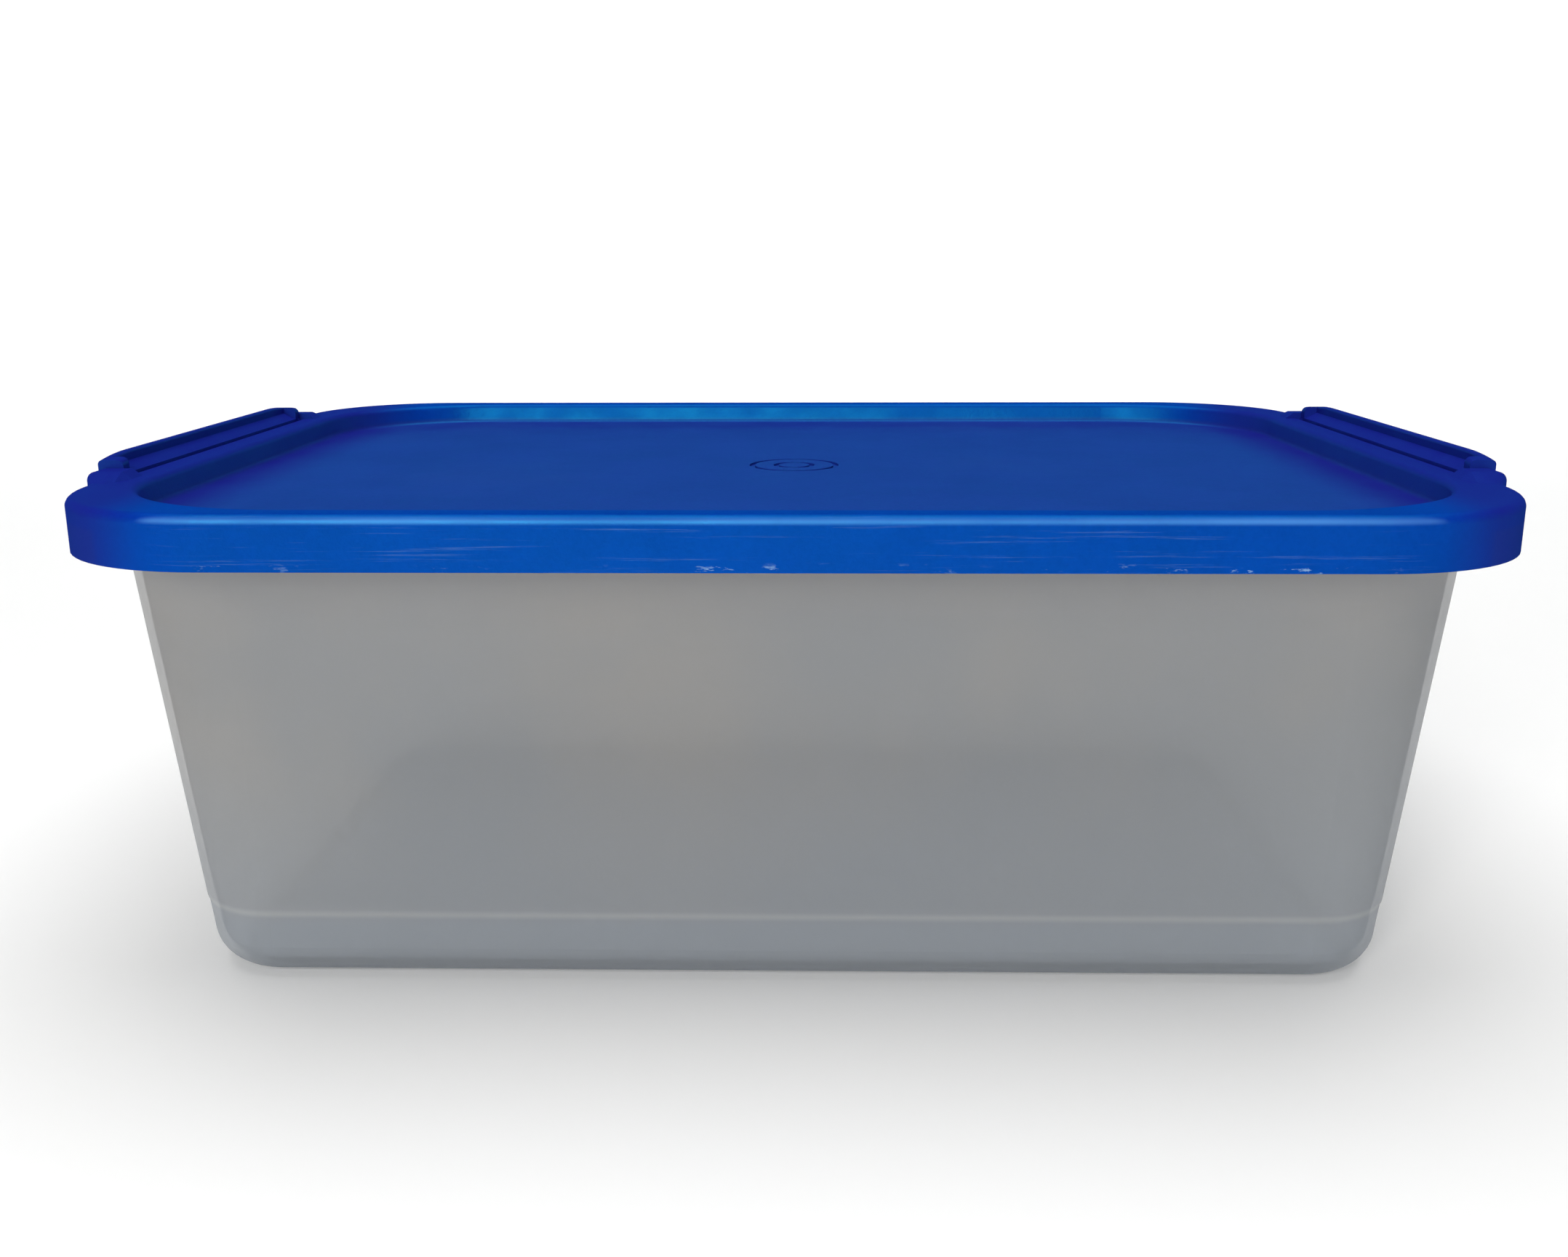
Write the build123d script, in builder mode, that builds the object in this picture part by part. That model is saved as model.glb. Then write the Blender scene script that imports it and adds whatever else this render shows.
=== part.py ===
from build123d import *
import os
from math import radians, tan

# Lidded storage box in millimetres. +Z is up, the origin is the centre of the footprint
# on the surface the box stands on, X runs along its length and Y across its width.
# Four pieces: tub, lid, and one clip latch at each end, hinged in the lid.

# Lid: a recessed stacking panel inside a rim, with a skirt round the outside
LID_LENGTH = 340.0
LID_WIDTH = 248.0
LID_CORNER_R = 43.0
RIM_TOP_Z = 124.4
SKIRT_HEIGHT = 12.5
WALL = 1.8
RIM_EDGE_R = 2.2
RECESS_DEPTH = 6.4
RECESS_FLARE_DEG = 13.0  # lean of the recess wall from the vertical
RECESS_CREST_R = 2.0
RECESS_FOOT_R = 1.5
PLUG_DEPTH = 4.6  # ring under the panel that fits in the tub's mouth
PLUG_CLEARANCE = 0.7
MARK_R = 13.0  # two plain rings in the middle of the panel
MARK_INNER_R = 6.0
MARK_WIDTH = 1.6
MARK_DEPTH = 0.6
LEDGE_END = 11.5  # rim width at the two ends
LEDGE_SIDE = 8.0  # rim width along front and back
RECESS_CORNER_R = 48.0

# Tub: drafted walls, a pan with a rounded base, a crease between the two, and a flange
DRAFT_DEG = 6.0
CREASE_Z = 19.0
CREASE_STEP = 0.2
CREASE_HALF_X = 151.8
CREASE_HALF_Y = 95.0
CREASE_CORNER_R = 22.0
BASE_FILLET_R = 10.5
FOOT_RECESS = 0.8  # the middle of the base stands this far off the surface
FOOT_RING_WIDTH = 9.0
TUB_TOP_Z = 115.9
FLANGE_TOP_Z = 114.0
FLANGE_GAP = 0.6  # flange edge to the inside of the lid's skirt
LIP_R = 0.6

# Clip latches: a ridge along the outer edge with a finger scoop behind it, a flap
# hanging outside, and a trunnion at each end
HINGE_X = 168.0
HINGE_Z = 123.8
LATCH_HALF_Y = 65.4
LATCH_TOP_Z = 129.2
LATCH_BOTTOM_Z = 102.0
LATCH_OUTER_X = 173.6
LATCH_INNER_X = 167.2
LATCH_WALL = 1.7
RIDGE_INNER_X = 171.0
RIDGE_OUTER_R = 1.2
RIDGE_INNER_R = 0.7
RIDGE_END_DROP = 1.0  # the ridge's top curves down this far at each end
RIDGE_END_RUN = 14.0  # over this length
SCOOP_EDGE_Z = 124.8  # the scoop's slope, at the latch's inner edge
SCOOP_TOP_Z = 126.7  # and at the ridge
END_BLOCK = 3.4  # the scoop stops this far from the latch's ends
END_BLOCK_R = 1.6
LIP_HEIGHT = 3.0  # the flap's lower edge turns out over this height
LIP_REACH = 1.0
WEB_WIDTH = 1.6
WEB_COUNT = 7
WEB_DEPTH = 5.0  # webs run this far down the flap from the hinge line
TRUNNION_R = 1.1
TRUNNION_LENGTH = 4.0
HINGE_CLEARANCE = 0.05  # radial, trunnion in bore
CATCH_REACH = 0.6  # how far the catch bead stands in from the flap
CATCH_DROP = 1.0  # top of the bead under the tub's catch
CATCH_GAP = 0.3  # bead to the edge of the tub's catch
CATCH_INSET = 6.0  # the catch is this much shorter than the latch at each end

# Ears of the lid that carry the trunnions, either side of each latch. Each is a low
# shoulder, highest beside the latch, which sinks into the rim further along.
EAR_GAP = 0.5
EAR_WIDTH = 8.6
EAR_FLAT = 6.0  # level part of the shoulder, beside the latch
EAR_RUN = 17.0  # whole length of the shoulder
EAR_SINK = 0.5  # its far end is this far under the rim's top
EAR_TOP_Z = 126.2
EAR_OUTER_X = 173.6
EAR_EDGE_R = 2.4
EAR_BLEND = 5.0  # the shoulder's inner slope starts this far behind the latch
POCKET_X = 166.5  # outer face of the wall behind the latch
POCKET_EDGE_R = 1.0  # room for the latch to turn
POCKET_WALL_BOTTOM_Z = 114.6

# Derived places
skirt_z = RIM_TOP_Z - SKIRT_HEIGHT
panel_z = RIM_TOP_Z - RECESS_DEPTH
half_x = LID_LENGTH / 2
half_y = LID_WIDTH / 2
ear_inner_y = LATCH_HALF_Y + EAR_GAP
slope = tan(radians(DRAFT_DEG))
wall_top_growth = slope * (TUB_TOP_Z - CREASE_Z)
pan_growth = slope * CREASE_Z
catch_x = LATCH_OUTER_X - LATCH_WALL - CATCH_REACH - CATCH_GAP

os.makedirs("parts", exist_ok=True)


def rounded(half_length, half_width, radius):
    return RectangleRounded(2 * half_length, 2 * half_width, radius)


# ---------------------------------------------------------------- tub
pan_half_x = CREASE_HALF_X - CREASE_STEP - pan_growth
pan_half_y = CREASE_HALF_Y - CREASE_STEP - pan_growth
pan_corner_r = CREASE_CORNER_R - pan_growth
floor_z = FOOT_RECESS + WALL
flange_bottom_z = FLANGE_TOP_Z - WALL
base_half_x = pan_half_x - BASE_FILLET_R - FOOT_RING_WIDTH
base_half_y = pan_half_y - BASE_FILLET_R - FOOT_RING_WIDTH

with BuildPart() as tub_inside:
    # pan, from the floor up to the crease
    with BuildSketch(Plane.XY.offset(floor_z)):
        rounded(
            pan_half_x + slope * floor_z - WALL,
            pan_half_y + slope * floor_z - WALL,
            pan_corner_r + slope * floor_z - WALL,
        )
    extrude(amount=CREASE_Z - floor_z, taper=-DRAFT_DEG)
    fillet(tub_inside.faces().sort_by(Axis.Z)[0].edges(), BASE_FILLET_R - WALL)
    # main wall, up to the mouth
    with BuildSketch(Plane.XY.offset(CREASE_Z)):
        rounded(CREASE_HALF_X - WALL, CREASE_HALF_Y - WALL, CREASE_CORNER_R - WALL)
    extrude(amount=TUB_TOP_Z - CREASE_Z, taper=-DRAFT_DEG)

with BuildPart() as tub:
    # outside of the pan, below the crease
    with BuildSketch(Plane.XY):
        rounded(pan_half_x, pan_half_y, pan_corner_r)
    extrude(amount=CREASE_Z, taper=-DRAFT_DEG)
    fillet(tub.faces().sort_by(Axis.Z)[0].edges(), BASE_FILLET_R)
    # outside of the main wall
    with BuildSketch(Plane.XY.offset(CREASE_Z)):
        rounded(CREASE_HALF_X, CREASE_HALF_Y, CREASE_CORNER_R)
    extrude(amount=TUB_TOP_Z - CREASE_Z, taper=-DRAFT_DEG)
    # flange under the lid, with a catch for each latch
    with BuildSketch(Plane.XY.offset(flange_bottom_z)):
        rounded(
            half_x - WALL - FLANGE_GAP,
            half_y - WALL - FLANGE_GAP,
            LID_CORNER_R - WALL - FLANGE_GAP,
        )
        Rectangle(2 * catch_x, 2 * (LATCH_HALF_Y - CATCH_INSET))
    extrude(amount=WALL)
    add(tub_inside.part, mode=Mode.SUBTRACT)
    # shallow recess in the base, which leaves a foot ring round it
    with BuildSketch(Plane.XY):
        rounded(base_half_x, base_half_y, FOOT_RING_WIDTH)
    extrude(amount=FOOT_RECESS, mode=Mode.SUBTRACT)
    # rounded lip at the mouth
    fillet(tub.faces().sort_by(Axis.Z)[-1].edges(), LIP_R)

tub.part.label = "tub"
export_step(tub.part, "parts/tub.step")

# ---------------------------------------------------------------- lid
recess_half_x = half_x - LEDGE_END
recess_half_y = half_y - LEDGE_SIDE
underside_z = panel_z - WALL
plug_z = underside_z - PLUG_DEPTH
plug_half_x = CREASE_HALF_X + slope * (plug_z - CREASE_Z) - WALL - PLUG_CLEARANCE
plug_half_y = plug_half_x - CREASE_HALF_X + CREASE_HALF_Y
plug_r = CREASE_CORNER_R + wall_top_growth - WALL - PLUG_CLEARANCE
pocket_width = EAR_OUTER_X - POCKET_X
ear_outer_y = ear_inner_y + EAR_WIDTH
bore_r = TRUNNION_R + HINGE_CLEARANCE
bore_depth = TRUNNION_LENGTH + EAR_GAP

with BuildPart() as recess:
    # the stacking recess, as the solid that is cut out of the lid
    with BuildSketch(Plane.XY.offset(RIM_TOP_Z)):
        rounded(recess_half_x, recess_half_y, RECESS_CORNER_R)
    extrude(amount=-RECESS_DEPTH, taper=RECESS_FLARE_DEG)
    fillet(recess.faces().sort_by(Axis.Z)[0].edges(), RECESS_FOOT_R)

with BuildPart() as ear:
    # one ear, at the +X +Y end of a pocket: a shoulder that sinks into the rim
    shoulder_sections = (
        (ear_inner_y, EAR_OUTER_X, EAR_TOP_Z),
        (ear_inner_y + EAR_FLAT, EAR_OUTER_X, EAR_TOP_Z),
        (ear_inner_y + EAR_RUN, half_x - WALL, RIM_TOP_Z - EAR_SINK),
    )
    for section_y, outer_x, top_z in shoulder_sections:
        with BuildSketch(Plane.XZ.offset(-section_y)) as shoulder:
            with BuildLine():
                Polyline(
                    (POCKET_X - EAR_BLEND, top_z - EAR_EDGE_R),
                    (half_x - WALL, skirt_z + WALL),
                    (outer_x, skirt_z + 2 * WALL),
                    (outer_x, top_z),
                    (POCKET_X - WALL, top_z),
                    close=True,
                )
            make_face()
            fillet(shoulder.vertices().group_by(Axis.Y)[-1].sort_by(Axis.X)[-1], EAR_EDGE_R)
    loft(ruled=True)
    # solid block inside the rim, for the trunnion's bore
    with BuildSketch(Plane.XZ.offset(-ear_outer_y)):
        with BuildLine():
            Polyline(
                (POCKET_X - WALL, POCKET_WALL_BOTTOM_Z),
                (half_x - WALL, POCKET_WALL_BOTTOM_Z),
                (half_x - WALL, RIM_TOP_Z - WALL),
                (POCKET_X - WALL, RIM_TOP_Z - WALL),
                close=True,
            )
        make_face()
    extrude(amount=EAR_WIDTH)

with BuildPart() as lid:
    # outside: skirt and rim
    with BuildSketch(Plane.XY.offset(skirt_z)):
        rounded(half_x, half_y, LID_CORNER_R)
    extrude(amount=SKIRT_HEIGHT)
    fillet(lid.faces().sort_by(Axis.Z)[-1].edges(), RIM_EDGE_R)
    add(recess.part, mode=Mode.SUBTRACT)
    fillet(lid.faces().sort_by(Axis.Z)[-1].inner_wires()[0].edges(), RECESS_CREST_R)
    # underside: hollow over the tub's rim
    with BuildSketch(Plane.XY.offset(skirt_z)):
        rounded(half_x - WALL, half_y - WALL, LID_CORNER_R - WALL)
    extrude(amount=underside_z - skirt_z, mode=Mode.SUBTRACT)
    # underside: channel all round, in the rim
    with BuildSketch(Plane.XY.offset(underside_z)):
        rounded(half_x - WALL, half_y - WALL, LID_CORNER_R - WALL)
        RectangleRounded(
            2 * (recess_half_x + WALL),
            2 * (recess_half_y + WALL),
            RECESS_CORNER_R + WALL,
            mode=Mode.SUBTRACT,
        )
    extrude(amount=RECESS_DEPTH, mode=Mode.SUBTRACT)
    # ring that plugs the tub's mouth
    with BuildSketch(Plane.XY.offset(plug_z)):
        rounded(plug_half_x, plug_half_y, plug_r)
        RectangleRounded(
            2 * (plug_half_x - WALL),
            2 * (plug_half_y - WALL),
            plug_r - WALL,
            mode=Mode.SUBTRACT,
        )
    extrude(amount=PLUG_DEPTH)
    # pocket in each end for the latch, with a wall behind it
    with BuildSketch(Plane.XY.offset(skirt_z)):
        with GridLocations(2 * POCKET_X + pocket_width, 0, 2, 1):
            Rectangle(pocket_width, 2 * ear_inner_y)
    extrude(amount=SKIRT_HEIGHT, mode=Mode.SUBTRACT)
    with BuildSketch(Plane.XY.offset(POCKET_WALL_BOTTOM_Z)):
        with GridLocations(2 * POCKET_X - WALL, 0, 2, 1):
            Rectangle(WALL, 2 * ear_inner_y)
    extrude(amount=RIM_TOP_Z - WALL - POCKET_WALL_BOTTOM_Z)
    for side_x in (-POCKET_X, POCKET_X):
        rim_edges = lid.edges().filter_by_position(Axis.Z, RIM_TOP_Z, RIM_TOP_Z)
        fillet(rim_edges.filter_by_position(Axis.X, side_x, side_x), POCKET_EDGE_R)
    # ears either side of each pocket, and the trunnion bores in them
    ear_pair = [ear.part, mirror(ear.part, about=Plane.XZ, mode=Mode.PRIVATE)]
    add(ear_pair)
    mirror(ear_pair, about=Plane.YZ)
    with BuildSketch(Plane.XZ.offset(-ear_inner_y - bore_depth)):
        with Locations((HINGE_X, HINGE_Z), (-HINGE_X, HINGE_Z)):
            Circle(bore_r)
    extrude(amount=bore_depth, mode=Mode.SUBTRACT)
    with BuildSketch(Plane.XZ.offset(ear_inner_y)):
        with Locations((HINGE_X, HINGE_Z), (-HINGE_X, HINGE_Z)):
            Circle(bore_r)
    extrude(amount=bore_depth, mode=Mode.SUBTRACT)
    # plain rings sunk in the middle of the panel
    with BuildSketch(Plane.XY.offset(panel_z)):
        Circle(MARK_R)
        Circle(MARK_R - MARK_WIDTH, mode=Mode.SUBTRACT)
        Circle(MARK_INNER_R)
        Circle(MARK_INNER_R - MARK_WIDTH, mode=Mode.SUBTRACT)
    extrude(amount=-MARK_DEPTH, mode=Mode.SUBTRACT)

lid.part.label = "lid"
export_step(lid.part, "parts/lid.step")

# ---------------------------------------------------------------- latches
flap_inner_x = LATCH_OUTER_X - LATCH_WALL
hinge_wall_x = 2 * HINGE_X - LATCH_INNER_X  # the wall above the trunnions, centred on them
bead_z = flange_bottom_z - CATCH_DROP - CATCH_REACH
ridge_end_z = LATCH_TOP_Z - RIDGE_END_DROP
ridge_flat_y = LATCH_HALF_Y - RIDGE_END_RUN
hinge_foot_z = HINGE_Z - TRUNNION_R

with BuildPart() as latch_right:
    # scoop, ridge, flap, catch bead and finger lip, as one section along the latch
    with BuildSketch(Plane.XZ.offset(-LATCH_HALF_Y)):
        with BuildLine():
            Polyline(
                (LATCH_INNER_X, hinge_foot_z),
                (LATCH_INNER_X, SCOOP_EDGE_Z),
                (RIDGE_INNER_X, SCOOP_TOP_Z),
                (RIDGE_INNER_X, LATCH_TOP_Z),
                (LATCH_OUTER_X, LATCH_TOP_Z),
                (LATCH_OUTER_X, LATCH_BOTTOM_Z + LIP_HEIGHT),
                (LATCH_OUTER_X + LIP_REACH, LATCH_BOTTOM_Z),
                (flap_inner_x + LIP_REACH, LATCH_BOTTOM_Z),
                (flap_inner_x, LATCH_BOTTOM_Z + LIP_HEIGHT),
                (flap_inner_x, bead_z - CATCH_REACH),
                (flap_inner_x - CATCH_REACH, bead_z),
                (flap_inner_x, bead_z + CATCH_REACH),
                (flap_inner_x, SCOOP_TOP_Z - LATCH_WALL),
                (hinge_wall_x, SCOOP_EDGE_Z - WEB_WIDTH / 2),
                (hinge_wall_x, hinge_foot_z),
                close=True,
            )
        make_face()
    extrude(amount=2 * LATCH_HALF_Y)
    # blocks that close the scoop at its two ends
    for end_y in (LATCH_HALF_Y, -LATCH_HALF_Y + END_BLOCK):
        with BuildSketch(Plane.XZ.offset(-end_y)):
            with BuildLine():
                Polyline(
                    (LATCH_INNER_X, SCOOP_EDGE_Z),
                    (LATCH_INNER_X, LATCH_TOP_Z),
                    (RIDGE_INNER_X, LATCH_TOP_Z),
                    (RIDGE_INNER_X, SCOOP_TOP_Z),
                    close=True,
                )
            make_face()
        extrude(amount=END_BLOCK)
    # side outline: the ridge's top curves down to its ends
    with BuildSketch(Plane.YZ.offset(LATCH_INNER_X)):
        with BuildLine():
            Line((-LATCH_HALF_Y, LATCH_BOTTOM_Z), (LATCH_HALF_Y, LATCH_BOTTOM_Z))
            Line((LATCH_HALF_Y, LATCH_BOTTOM_Z), (LATCH_HALF_Y, ridge_end_z))
            TangentArc((ridge_flat_y, LATCH_TOP_Z), (LATCH_HALF_Y, ridge_end_z), tangent=(1, 0))
            Line((ridge_flat_y, LATCH_TOP_Z), (-ridge_flat_y, LATCH_TOP_Z))
            TangentArc((-ridge_flat_y, LATCH_TOP_Z), (-LATCH_HALF_Y, ridge_end_z), tangent=(-1, 0))
            Line((-LATCH_HALF_Y, ridge_end_z), (-LATCH_HALF_Y, LATCH_BOTTOM_Z))
        make_face()
    extrude(amount=LATCH_OUTER_X + LIP_REACH - LATCH_INNER_X, mode=Mode.INTERSECT)
    rounded_edges = (
        (LATCH_OUTER_X, RIDGE_OUTER_R),
        (LATCH_INNER_X, END_BLOCK_R),
        (RIDGE_INNER_X, RIDGE_INNER_R),
    )
    for edge_x, radius in rounded_edges:
        top_edges = latch_right.edges().filter_by_position(Axis.Z, ridge_end_z, LATCH_TOP_Z)
        fillet(top_edges.filter_by_position(Axis.X, edge_x, edge_x), radius)
    # webs under the scoop
    for web in range(WEB_COUNT):
        web_y = LATCH_HALF_Y - web * (2 * LATCH_HALF_Y - WEB_WIDTH) / (WEB_COUNT - 1)
        with BuildSketch(Plane.XZ.offset(-web_y)):
            with BuildLine():
                Polyline(
                    (HINGE_X, hinge_foot_z),
                    (HINGE_X, SCOOP_EDGE_Z - WEB_WIDTH / 2),
                    (LATCH_OUTER_X - LATCH_WALL / 2, SCOOP_TOP_Z - LATCH_WALL / 2),
                    (LATCH_OUTER_X - LATCH_WALL / 2, HINGE_Z - WEB_DEPTH),
                    (flap_inner_x, HINGE_Z - WEB_DEPTH),
                    close=True,
                )
            make_face()
        extrude(amount=WEB_WIDTH)
    # trunnions
    for end in (LATCH_HALF_Y + TRUNNION_LENGTH, -LATCH_HALF_Y + WEB_WIDTH):
        with BuildSketch(Plane.XZ.offset(-end)):
            with Locations((HINGE_X, HINGE_Z)):
                Circle(TRUNNION_R)
        extrude(amount=TRUNNION_LENGTH + WEB_WIDTH)

with BuildPart() as latch_left:
    mirror(latch_right.part, about=Plane.YZ)

latch_right.part.label = "latch_right"
latch_left.part.label = "latch_left"
export_step(latch_right.part, "parts/latch_right.step")
export_step(latch_left.part, "parts/latch_left.step")
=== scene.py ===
import math

import bpy
from mathutils import Matrix, Vector


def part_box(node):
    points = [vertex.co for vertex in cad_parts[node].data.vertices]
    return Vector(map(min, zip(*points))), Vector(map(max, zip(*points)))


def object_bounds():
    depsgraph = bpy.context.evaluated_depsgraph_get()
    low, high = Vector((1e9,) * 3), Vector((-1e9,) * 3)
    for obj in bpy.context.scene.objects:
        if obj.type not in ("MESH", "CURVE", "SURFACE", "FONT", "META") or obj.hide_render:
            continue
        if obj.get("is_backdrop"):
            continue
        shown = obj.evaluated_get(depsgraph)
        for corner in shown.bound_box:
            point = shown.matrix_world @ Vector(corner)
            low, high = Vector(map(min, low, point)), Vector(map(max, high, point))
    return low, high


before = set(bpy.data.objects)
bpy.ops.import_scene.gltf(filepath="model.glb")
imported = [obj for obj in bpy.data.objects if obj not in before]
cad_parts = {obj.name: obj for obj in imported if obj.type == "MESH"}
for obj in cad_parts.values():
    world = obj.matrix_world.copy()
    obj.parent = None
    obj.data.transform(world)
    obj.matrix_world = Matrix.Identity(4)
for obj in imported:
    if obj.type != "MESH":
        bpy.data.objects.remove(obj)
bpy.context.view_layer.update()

# Camera, in metres and degrees. Pitch is below the horizon, and yaw is to the left.
CAMERA_AT = Vector((0.0060, -0.4339, 0.1778))
CAMERA_PITCH = 14.12
CAMERA_YAW = 1.2
CAMERA_ROLL = -0.17
LENS_MM = 34.2

# Light: a dim room, a key light at the front, one overhead, and one on the far wall
ROOM_COLOR = (0.80, 0.90, 1.0)
ROOM_STRENGTH = 0.08
KEY_AT = (-0.45, -2.2, 1.15)
KEY_SIZE = (1.6, 1.0)
KEY_COLOR = (1.0, 0.985, 0.96)
KEY_WATTS = 46.0
TOP_AT = (0.0, 0.10, 2.0)
TOP_SIZE = (2.2, 1.8)
TOP_WATTS = 37.0
WALL_LAMP_AT = (0.0, 1.7, 1.9)
WALL_LAMP_AIM = (0.0, 3.6, 0.2)
WALL_LAMP_SIZE = (3.2, 0.5)
WALL_LAMP_WATTS = 62.0

# Backdrop: a floor that turns up into a wall all round
FLOOR_COLOR = (0.90, 0.90, 0.895)
FLOOR_RADIUS = 2.9
BEND_RADIUS = 0.9
WALL_TOP_Z = 1.6

# Places that the lid's colour follows
RIM_TOP_Z = 0.1244
PANEL_Z = 0.1180
PANEL_SHADE_RISE = 0.0022  # the panel's painted shade fades out this far above it
RIM_SIDE_WIDTH = 0.0080  # rim along the front and the back
EDGE_BAND = 0.0022  # radius of the rim's rounded edge
# painted shade: the lid's ends are darkened from here outwards
END_SHADE_X = 0.136
END_SHADE_FADE = 0.020
HEM_RISE = 0.0010  # the hem's wear is centred this far above the skirt's lower edge
HEM_HALF_WIDTH = 0.0017

# Places that the tub's colour follows
CREASE_Z = 0.019
CREASE_HALF_WIDTH = 0.0016
MOUTH_Z = 0.112
MOUTH_FADE = 0.018
TUB_FLOOR_Z = 0.0026
TUB_FLOOR_HALF_X = 0.141
TUB_FLOOR_HALF_Y = 0.0825
TUB_FLOOR_BAND = 0.0015  # its painted light and its extra haze fade out this far above and below it

# Blue plastic. Pairs are the two tones that it is mottled with.
SKIRT_BLUES = (0.0006, 0.0165, 0.245), (0.0009, 0.0225, 0.295)
# painted shade and painted reflection on the recessed panel
PANEL_SHADED_BLUES = (0.0080, 0.0190, 0.205), (0.0098, 0.0240, 0.240)
SMUDGE_BLUE = (0.0160, 0.0360, 0.250)
# painted shade for the lid's ends
END_SHADE_BLUE = (0.0090, 0.0070, 0.180)
END_SHADE_SHARE = 0.78  # of the painted end shade, at the lid's two ends
# painted highlight along the rim's rounded front and back edges
EDGE_HIGHLIGHT_BLUE = (0.050, 0.165, 0.50)
WEAR_COLOR = (0.30, 0.46, 0.66)
GLOSS_BLUE = (0.02, 0.66, 1.0)
GLOSS_SHARE = 0.06

# Frosted plastic
HAZE_TONES = (0.505, 0.490, 0.470), (0.452, 0.462, 0.472)
# painted light: the lower walls and the pan are made lighter and bluer
LOW_WALL_PAINTED_LIGHT = (0.525, 0.555, 0.588)
PAN_PAINTED_LIGHT = (0.525, 0.560, 0.600)
# painted light under the lid's hem, against the shade the lid casts there
MOUTH_PAINTED_LIGHT = (0.72, 0.71, 0.70)
# painted light on the tub's flat floor, against the shade inside the tub
TUB_FLOOR_PAINTED_LIGHT = (0.74, 0.83, 0.92)
TUB_FLOOR_LIGHT_SHARE = 0.9
# painted highlight along the crease where the pan meets the walls
CREASE_HIGHLIGHT = (0.74, 0.74, 0.74)
CREASE_HIGHLIGHT_SHARE = 0.55
CLEAR_TINT = (0.90, 0.905, 0.91)
HAZE_SHARE = 0.52  # the rest of the light goes straight through
TUB_FLOOR_EXTRA_HAZE = 0.30  # more of it in the flat floor
GLOW_SHARE = 0.45  # of the haze, the part that glows from light behind it

lid_low, lid_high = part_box("lid")


# ------------------------------------------------------------------ node helpers
class Material:
    """A node material with a Principled shader, and short ways to add and join nodes."""

    def __init__(self, name):
        self.data = bpy.data.materials.new(name)
        self.data.use_nodes = True
        self.tree = self.data.node_tree
        self.shader = self.tree.nodes["Principled BSDF"]
        self.output = self.tree.nodes["Material Output"]
        self.place = self.add("ShaderNodeTexCoord").outputs["Object"]

    def add(self, kind, **settings):
        node = self.tree.nodes.new(kind)
        for key, value in settings.items():
            setattr(node, key, value)
        return node

    def join(self, source, target):
        self.tree.links.new(source, target)

    def put(self, target, value):
        """Joins value to the target socket if it is a socket too, or sets it there."""
        if isinstance(value, bpy.types.NodeSocket):
            self.join(value, target)
        else:
            target.default_value = value

    def stretched(self, scale):
        node = self.add("ShaderNodeMapping")
        self.join(self.place, node.inputs["Vector"])
        node.inputs["Scale"].default_value = scale
        return node.outputs["Vector"]

    def noise(self, scale, detail=3.0, stretch=(1, 1, 1), roughness=0.5):
        node = self.add("ShaderNodeTexNoise")
        self.join(self.stretched(stretch), node.inputs["Vector"])
        node.inputs["Scale"].default_value = scale
        node.inputs["Detail"].default_value = detail
        node.inputs["Roughness"].default_value = roughness
        return node.outputs["Fac"]

    def remap(self, value, low, high, to_low=0.0, to_high=1.0):
        node = self.add("ShaderNodeMapRange", interpolation_type="SMOOTHSTEP")
        self.put(node.inputs["Value"], value)
        node.inputs["From Min"].default_value = low
        node.inputs["From Max"].default_value = high
        node.inputs["To Min"].default_value = to_low
        node.inputs["To Max"].default_value = to_high
        return node.outputs["Result"]

    def math(self, operation, first, second=0.0):
        node = self.add("ShaderNodeMath", operation=operation)
        self.put(node.inputs[0], first)
        self.put(node.inputs[1], second)
        return node.outputs["Value"]

    def mix(self, amount, first, second):
        node = self.add("ShaderNodeMix", data_type="RGBA")
        self.put(node.inputs["Factor"], amount)
        self.put(node.inputs["A"], first)
        self.put(node.inputs["B"], second)
        return node.outputs["Result"]

    def mixed_shader(self, amount, first, second):
        node = self.add("ShaderNodeMixShader")
        self.put(node.inputs["Fac"], amount)
        self.join(first, node.inputs[1])
        self.join(second, node.inputs[2])
        return node.outputs["Shader"]

    def axis(self, name):
        node = self.add("ShaderNodeSeparateXYZ")
        self.join(self.place, node.inputs["Vector"])
        return node.outputs[name]

    def band(self, value, centre, half_width):
        """1 at centre, falling smoothly to 0 half_width away."""
        away = self.math("ABSOLUTE", self.math("SUBTRACT", value, centre))
        return self.remap(away, 0.0, half_width, 1.0, 0.0)

    def bump(self, height, strength, distance):
        node = self.add("ShaderNodeBump")
        self.join(height, node.inputs["Height"])
        node.inputs["Strength"].default_value = strength
        node.inputs["Distance"].default_value = distance
        return node.outputs["Normal"]


def rgba(color):
    return (*color, 1.0)


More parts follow.
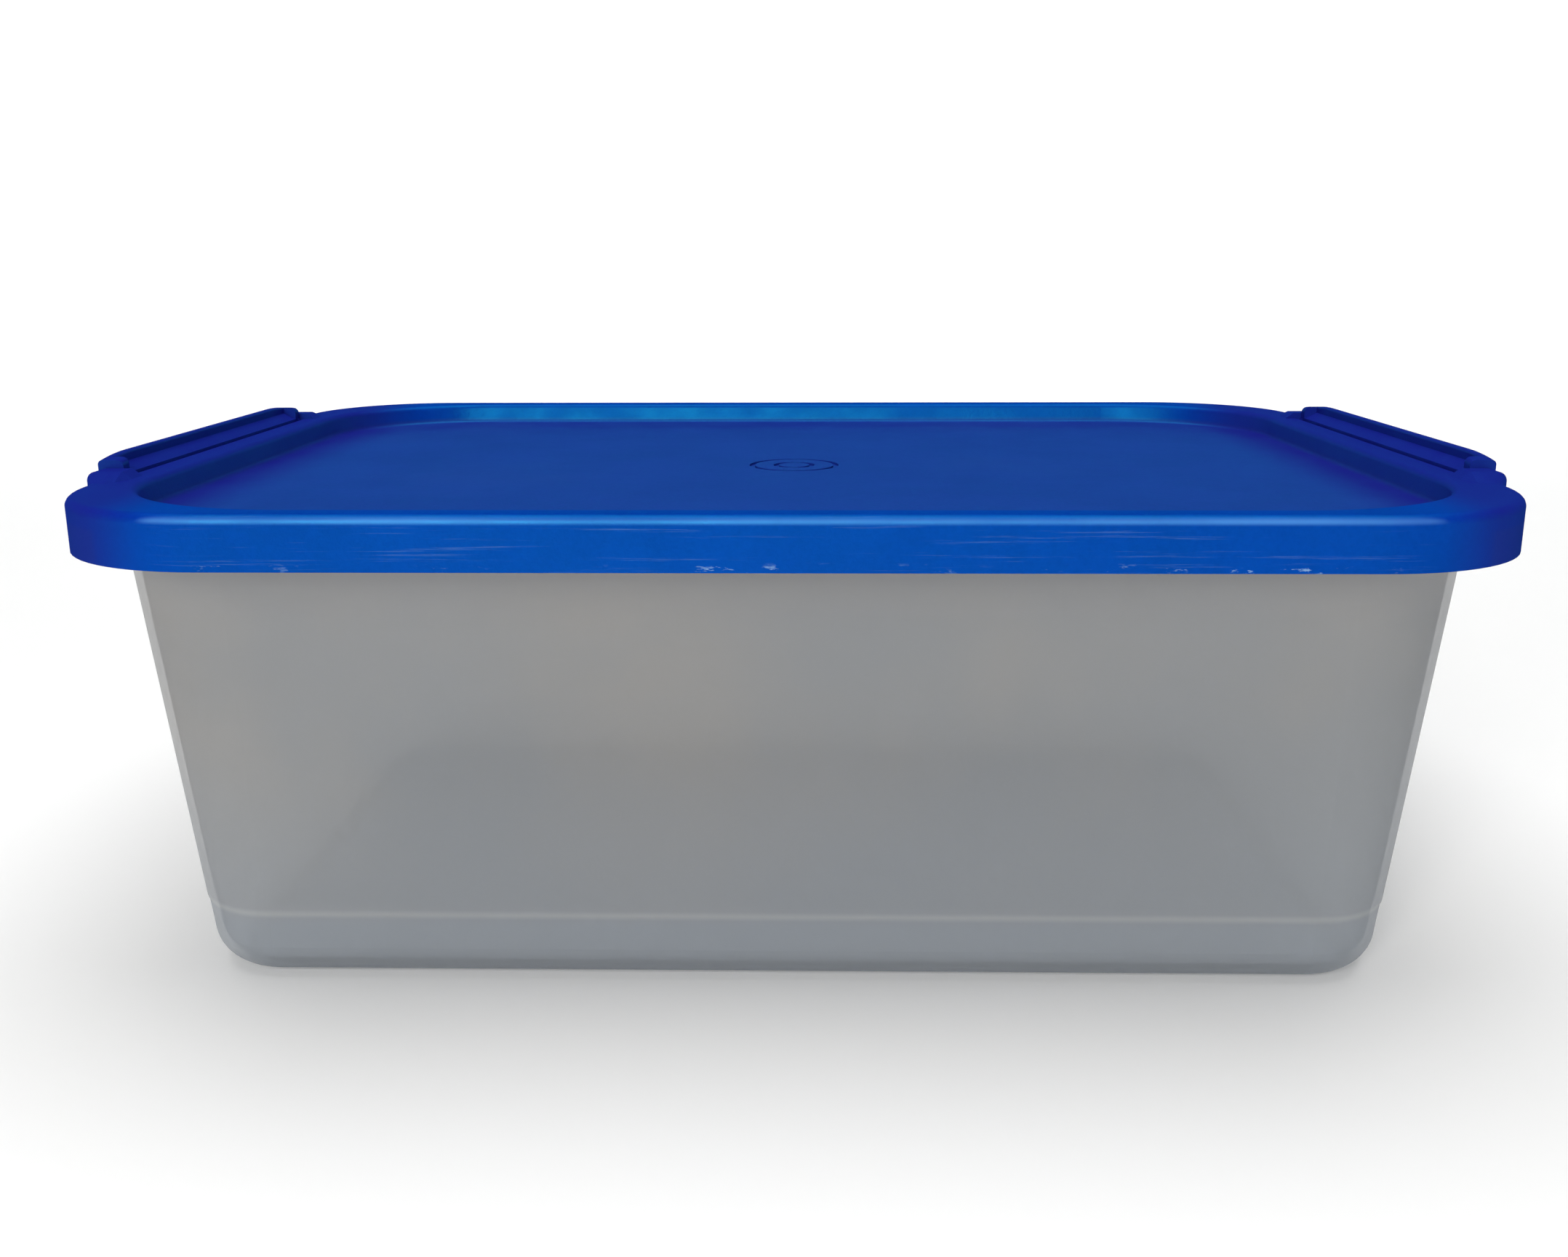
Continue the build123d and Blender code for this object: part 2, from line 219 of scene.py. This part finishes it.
# ------------------------------------------------------------------ materials
def lid_tones(mat, grain, along, across, height):
    """Mottled blue of the skirt and the panel, with painted shade on the panel and at the ends, and a mask
    of the painted end shade.
    """
    mottle = mat.math("ADD", mat.noise(34.0, detail=8.0, roughness=0.75), mat.math("MULTIPLY", grain, 0.6))
    mottle = mat.remap(mottle, 0.55, 1.05)
    skirt = mat.mix(mottle, *map(rgba, SKIRT_BLUES))
    # painted shade and painted reflection: the recessed panel gets a duller, redder blue than the skirt,
    # for the grazing light on the top
    rim_inner_y = lid_high.y - RIM_SIDE_WIDTH
    panel_shade_mask = mat.math(
        "MULTIPLY",
        mat.remap(height, PANEL_Z + PANEL_SHADE_RISE * 0.4, PANEL_Z + PANEL_SHADE_RISE, 1.0, 0.0),
        mat.remap(across, rim_inner_y - 0.0010, rim_inner_y + 0.0010, 1.0, 0.0),
    )
    panel = mat.mix(mottle, *map(rgba, PANEL_SHADED_BLUES))
    smudge = mat.remap(mat.noise(11.0, detail=4.0, roughness=0.6), 0.48, 0.70, 0.0, 0.22)
    panel = mat.mix(smudge, panel, rgba(SMUDGE_BLUE))
    color = mat.mix(panel_shade_mask, skirt, panel)
    # painted shade: the lid darkens towards its two ends, where its sides turn away from the light
    end_shade = mat.remap(along, END_SHADE_X, END_SHADE_X + END_SHADE_FADE)
    return mat.mix(mat.math("MULTIPLY", end_shade, END_SHADE_SHARE), color, rgba(END_SHADE_BLUE)), end_shade


def skirt_wear(mat, across, height):
    """Amount of fine wear on the front and back of the skirt, most of it along the hem."""
    on_side = mat.remap(across, lid_high.y - 0.0015, lid_high.y - 0.0004)
    flecks = mat.noise(420.0, detail=4.0, stretch=(0.35, 0.35, 1.3), roughness=0.65)
    flecks = mat.remap(flecks, 0.58, 0.66, 0.0, 0.6)
    flecks = mat.math("MULTIPLY", flecks, mat.remap(mat.noise(16.0, detail=3.0), 0.44, 0.62))
    flecks = mat.math("MULTIPLY", flecks, mat.band(height, lid_low.z + HEM_RISE, HEM_HALF_WIDTH))
    streaks = mat.noise(75.0, detail=7.0, stretch=(0.30, 0.30, 14.0), roughness=0.72)
    streaks = mat.remap(streaks, 0.56, 0.70, 0.0, 0.10)
    return mat.math("MULTIPLY", mat.math("MAXIMUM", flecks, streaks), on_side)


def painted_edge_highlight(mat, across, height):
    """Amount of painted highlight on the rim's rounded front and back edges."""
    on_edge = mat.remap(across, lid_high.y - EDGE_BAND, lid_high.y - EDGE_BAND * 0.4)
    edge_highlight = mat.math("MULTIPLY", on_edge, mat.band(height, RIM_TOP_Z - EDGE_BAND * 0.6, EDGE_BAND * 0.5))
    return mat.math("MULTIPLY", edge_highlight, mat.remap(mat.noise(16.0, detail=4.0), 0.3, 0.7, 0.45, 1.0))


def blue_plastic():
    """Opaque blue polypropylene: satin, finely mottled, with a worn hem, painted highlights on the rim's
    edges and painted shade on the panel and the ends.
    """
    mat = Material("blue_plastic")
    along = mat.math("ABSOLUTE", mat.axis("X"))
    across = mat.math("ABSOLUTE", mat.axis("Y"))
    height = mat.axis("Z")
    grain = mat.noise(900.0, detail=3.0, roughness=0.7)
    color, end_shade = lid_tones(mat, grain, along, across, height)
    color = mat.mix(skirt_wear(mat, across, height), color, rgba(WEAR_COLOR))
    # painted highlight on the rim's edges, fading out where the ends are painted in shade
    edge_highlight = mat.math("MULTIPLY", painted_edge_highlight(mat, across, height), mat.math("SUBTRACT", 1.0, end_shade))
    color = mat.mix(edge_highlight, color, rgba(EDGE_HIGHLIGHT_BLUE))
    satin = mat.remap(mat.noise(70.0, detail=4.0), 0.3, 0.7, 0.36, 0.48)
    texture = mat.bump(grain, 0.30, 0.0002)
    mat.join(color, mat.shader.inputs["Base Color"])
    mat.join(satin, mat.shader.inputs["Roughness"])
    mat.join(texture, mat.shader.inputs["Normal"])
    mat.shader.inputs["Specular IOR Level"].default_value = 0.0
    # a thin blue gloss in place of the shader's own; halving it at the ends adds to the painted shade
    # there
    gloss = mat.add("ShaderNodeBsdfAnisotropic")
    gloss.inputs["Color"].default_value = rgba(GLOSS_BLUE)
    mat.join(satin, gloss.inputs["Roughness"])
    mat.join(texture, gloss.inputs["Normal"])
    gloss_share = mat.math("SUBTRACT", GLOSS_SHARE, mat.math("MULTIPLY", end_shade, GLOSS_SHARE / 2))
    skin = mat.mixed_shader(gloss_share, mat.shader.outputs["BSDF"], gloss.outputs["BSDF"])
    mat.join(skin, mat.output.inputs["Surface"])
    return mat.data


def tub_haze_and_painted_light(mat, along, across, height):
    """The tub's cloudy colour, from its base to its mouth, with painted light low down, on the floor and
    under the hem, a painted crease highlight, and a mask of its floor.
    """
    patches = mat.remap(mat.noise(9.0, detail=3.0, roughness=0.6), 0.36, 0.64)
    haze_and_painted_light = mat.mix(patches, *map(rgba, HAZE_TONES))
    # painted light: lighter, bluer walls low down and in the pan
    low_wall_light = mat.remap(height, CREASE_Z, MOUTH_Z * 0.75, 0.75, 0.0)
    haze_and_painted_light = mat.mix(low_wall_light, haze_and_painted_light, rgba(LOW_WALL_PAINTED_LIGHT))
    pan_light = mat.remap(height, CREASE_Z - 0.004, CREASE_Z + 0.002, 1.0, 0.0)
    haze_and_painted_light = mat.mix(pan_light, haze_and_painted_light, rgba(PAN_PAINTED_LIGHT))
    # painted light: the walls are lightened towards the mouth, under the lid's hem
    mouth_light = mat.remap(height, MOUTH_Z - MOUTH_FADE, MOUTH_Z, 0.0, 0.80)
    haze_and_painted_light = mat.mix(mouth_light, haze_and_painted_light, rgba(MOUTH_PAINTED_LIGHT))
    on_floor = mat.math(
        "MULTIPLY",
        mat.remap(along, TUB_FLOOR_HALF_X - 0.004, TUB_FLOOR_HALF_X + 0.002, 1.0, 0.0),
        mat.remap(across, TUB_FLOOR_HALF_Y - 0.004, TUB_FLOOR_HALF_Y + 0.002, 1.0, 0.0),
    )
    on_floor = mat.math("MULTIPLY", on_floor, mat.band(height, TUB_FLOOR_Z, TUB_FLOOR_BAND))
    # painted light: the tub's floor is made lighter and bluer than the walls
    haze_and_painted_light = mat.mix(mat.math("MULTIPLY", on_floor, TUB_FLOOR_LIGHT_SHARE), haze_and_painted_light, rgba(TUB_FLOOR_PAINTED_LIGHT))
    # painted highlight: a light band along the crease
    crease_highlight = mat.band(height, CREASE_Z, CREASE_HALF_WIDTH)
    return mat.mix(mat.math("MULTIPLY", crease_highlight, CREASE_HIGHLIGHT_SHARE), haze_and_painted_light, rgba(CREASE_HIGHLIGHT)), on_floor


def frosted_plastic():
    """Natural polypropylene: hazy, lets soft light and faint edges through."""
    mat = Material("frosted_plastic")
    along = mat.math("ABSOLUTE", mat.axis("X"))
    across = mat.math("ABSOLUTE", mat.axis("Y"))
    haze_and_painted_light, on_floor = tub_haze_and_painted_light(mat, along, across, mat.axis("Z"))
    texture = mat.bump(mat.noise(700.0, detail=2.0), 0.08, 0.0002)
    mat.join(haze_and_painted_light, mat.shader.inputs["Base Color"])
    mat.join(texture, mat.shader.inputs["Normal"])
    mat.shader.inputs["Roughness"].default_value = 0.42
    mat.shader.inputs["Specular IOR Level"].default_value = 0.3
    glow = mat.add("ShaderNodeBsdfTranslucent")
    mat.join(haze_and_painted_light, glow.inputs["Color"])
    body = mat.mixed_shader(GLOW_SHARE, mat.shader.outputs["BSDF"], glow.outputs["BSDF"])
    through = mat.add("ShaderNodeBsdfTransparent")
    through.inputs["Color"].default_value = rgba(CLEAR_TINT)
    # the flat floor lets less light straight through than the walls
    haze_share = mat.math("ADD", HAZE_SHARE, mat.math("MULTIPLY", on_floor, TUB_FLOOR_EXTRA_HAZE))
    whole = mat.mixed_shader(haze_share, through.outputs["BSDF"], body)
    mat.join(whole, mat.output.inputs["Surface"])
    return mat.data


def floor_paint():
    """Pale matt paint with the faintest unevenness."""
    mat = Material("floor_paint")
    tone = mat.remap(mat.noise(1.5, detail=2.0), 0.3, 0.7)
    color = mat.mix(tone, rgba(FLOOR_COLOR), rgba([c * 0.985 for c in FLOOR_COLOR]))
    mat.join(color, mat.shader.inputs["Base Color"])
    mat.shader.inputs["Roughness"].default_value = 0.9
    mat.shader.inputs["Specular IOR Level"].default_value = 0.1
    return mat.data


def dress(node, material):
    """Gives a CAD node one material in every slot."""
    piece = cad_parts[node]
    if not piece.material_slots:
        piece.data.materials.append(material)
    for slot in piece.material_slots:
        slot.material = material


blue = blue_plastic()
dress("tub", frosted_plastic())
for node in ("lid", "latch_left", "latch_right"):
    dress(node, blue)


# ------------------------------------------------------------------ backdrop
def make_backdrop():
    """One smooth surface of revolution: flat floor, quarter bend, upright wall."""
    bend_steps, turns = 16, 96
    profile = [(FLOOR_RADIUS * 0.5, 0.0)]
    for step in range(bend_steps + 1):
        angle = math.pi / 2 * step / bend_steps
        profile.append(
            (FLOOR_RADIUS + BEND_RADIUS * math.sin(angle), BEND_RADIUS * (1 - math.cos(angle)))
        )
    profile.append((FLOOR_RADIUS + BEND_RADIUS, WALL_TOP_Z))
    points = [(0.0, 0.0, 0.0)]
    faces = []
    for radius, z in profile:
        for turn in range(turns):
            angle = 2 * math.pi * turn / turns
            points.append((radius * math.cos(angle), radius * math.sin(angle), z))
    for turn in range(turns):
        beside = (turn + 1) % turns
        faces.append((0, 1 + turn, 1 + beside))
        for ring in range(len(profile) - 1):
            inner, outer = 1 + ring * turns, 1 + (ring + 1) * turns
            faces.append((inner + turn, outer + turn, outer + beside, inner + beside))
    mesh = bpy.data.meshes.new("backdrop")
    mesh.from_pydata(points, [], faces)
    mesh.shade_smooth()
    mesh.materials.append(floor_paint())
    backdrop = bpy.data.objects.new("backdrop", mesh)
    bpy.context.scene.collection.objects.link(backdrop)
    backdrop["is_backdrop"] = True


make_backdrop()


# ------------------------------------------------------------------ light and camera
def softbox(name, at, aim, size, watts, color=(1, 1, 1)):
    data = bpy.data.lights.new(name, "AREA")
    data.shape = "RECTANGLE"
    data.size, data.size_y = size
    data.energy = watts
    data.color = color
    lamp = bpy.data.objects.new(name, data)
    lamp.location = at
    lamp.rotation_euler = (Vector(aim) - Vector(at)).to_track_quat("-Z", "Y").to_euler()
    bpy.context.scene.collection.objects.link(lamp)


middle = Vector((0.0, 0.0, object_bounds()[1].z / 2))
softbox("key", KEY_AT, middle, KEY_SIZE, KEY_WATTS, KEY_COLOR)
softbox("top", TOP_AT, middle, TOP_SIZE, TOP_WATTS)
softbox("wall_lamp", WALL_LAMP_AT, WALL_LAMP_AIM, WALL_LAMP_SIZE, WALL_LAMP_WATTS)

world = bpy.data.worlds.new("studio")
world.use_nodes = True
background = world.node_tree.nodes["Background"]
background.inputs["Color"].default_value = rgba(ROOM_COLOR)
background.inputs["Strength"].default_value = ROOM_STRENGTH
bpy.context.scene.world = world


def aim_camera():
    """A camera turned by its yaw, pitch and roll from looking along +Y."""
    data = bpy.data.cameras.new("camera")
    data.lens = LENS_MM
    data.sensor_width = 36.0
    data.clip_start, data.clip_end = 0.01, 50.0
    camera = bpy.data.objects.new("camera", data)
    turn = (
        Matrix.Rotation(math.radians(CAMERA_YAW), 4, "Z")
        @ Matrix.Rotation(math.radians(90.0 - CAMERA_PITCH), 4, "X")
        @ Matrix.Rotation(math.radians(CAMERA_ROLL), 4, "Z")
    )
    camera.matrix_world = Matrix.Translation(CAMERA_AT) @ turn
    bpy.context.scene.collection.objects.link(camera)
    bpy.context.scene.camera = camera


aim_camera()
bpy.context.scene.view_settings.view_transform = "Standard"
